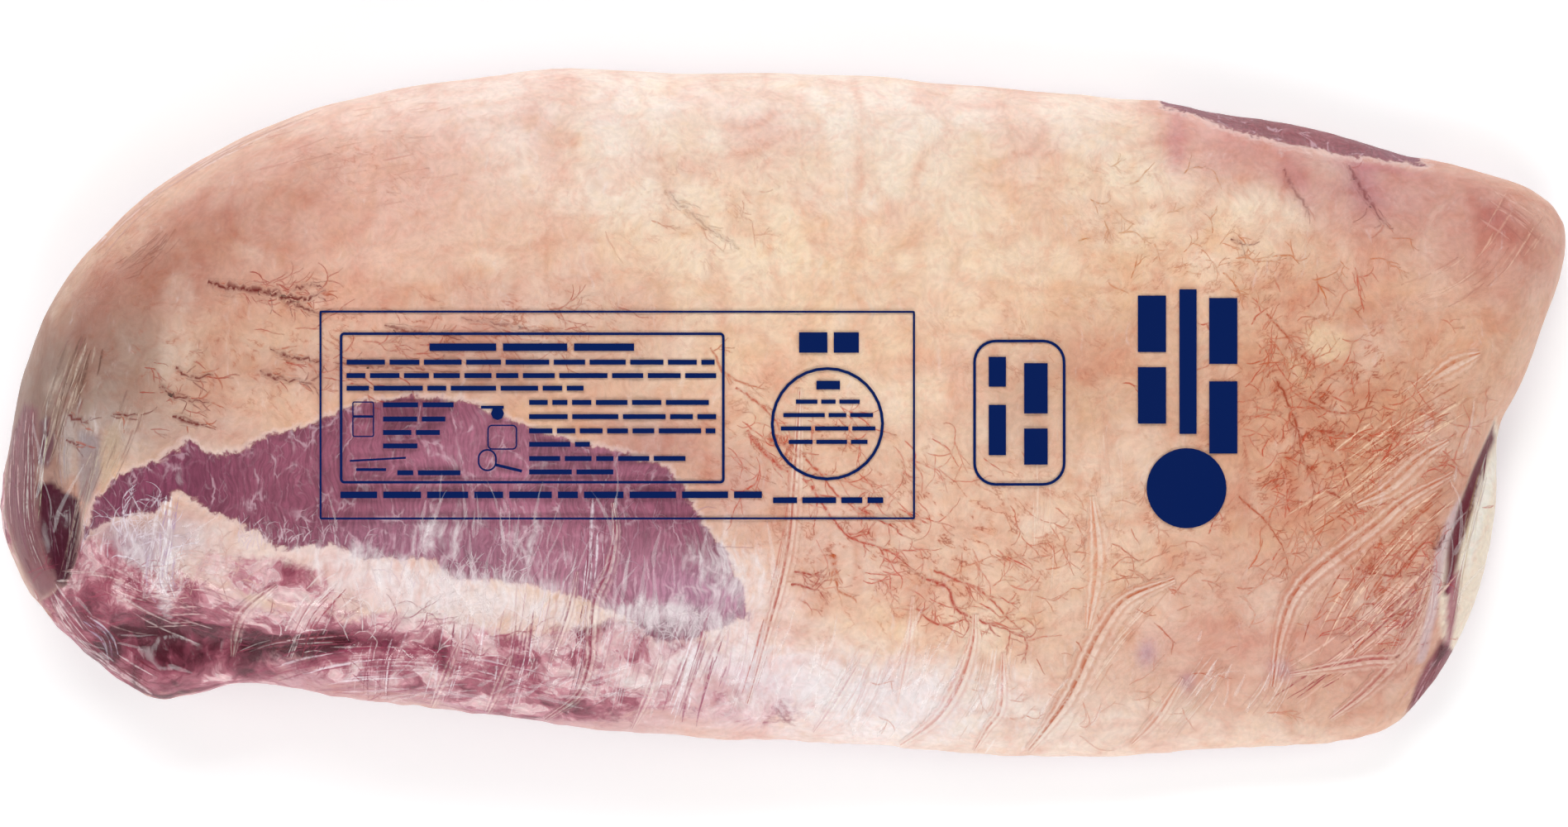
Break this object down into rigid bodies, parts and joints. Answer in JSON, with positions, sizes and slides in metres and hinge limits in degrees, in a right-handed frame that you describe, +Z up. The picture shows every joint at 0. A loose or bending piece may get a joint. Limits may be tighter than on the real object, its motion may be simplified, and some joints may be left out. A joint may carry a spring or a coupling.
{
  "type": "raw beef brisket",
  "caption": "Whole raw beef brisket sealed tight in clear shrink film, fat side up, thick at the point and thin at the flat.",
  "frame": {"origin": "middle of the footprint's box, on the surface that the brisket rests on", "axes": "+X along the length from the point to the flat, +Y across it towards the straighter long edge, +Z up out of the fat cap"},
  "size_m": [0.56, 0.247, 0.0822],
  "materials": {
    "beef": "cream to peach fat cap over purple-red marbled lean, wet looking under tight film",
    "film": "clear, thin, glossy shrink film with creases",
    "ink": "navy print on the film"
  },
  "bodies": {
    "root": {"sealed_brisket": "beef"}
  },
  "joints": []
}
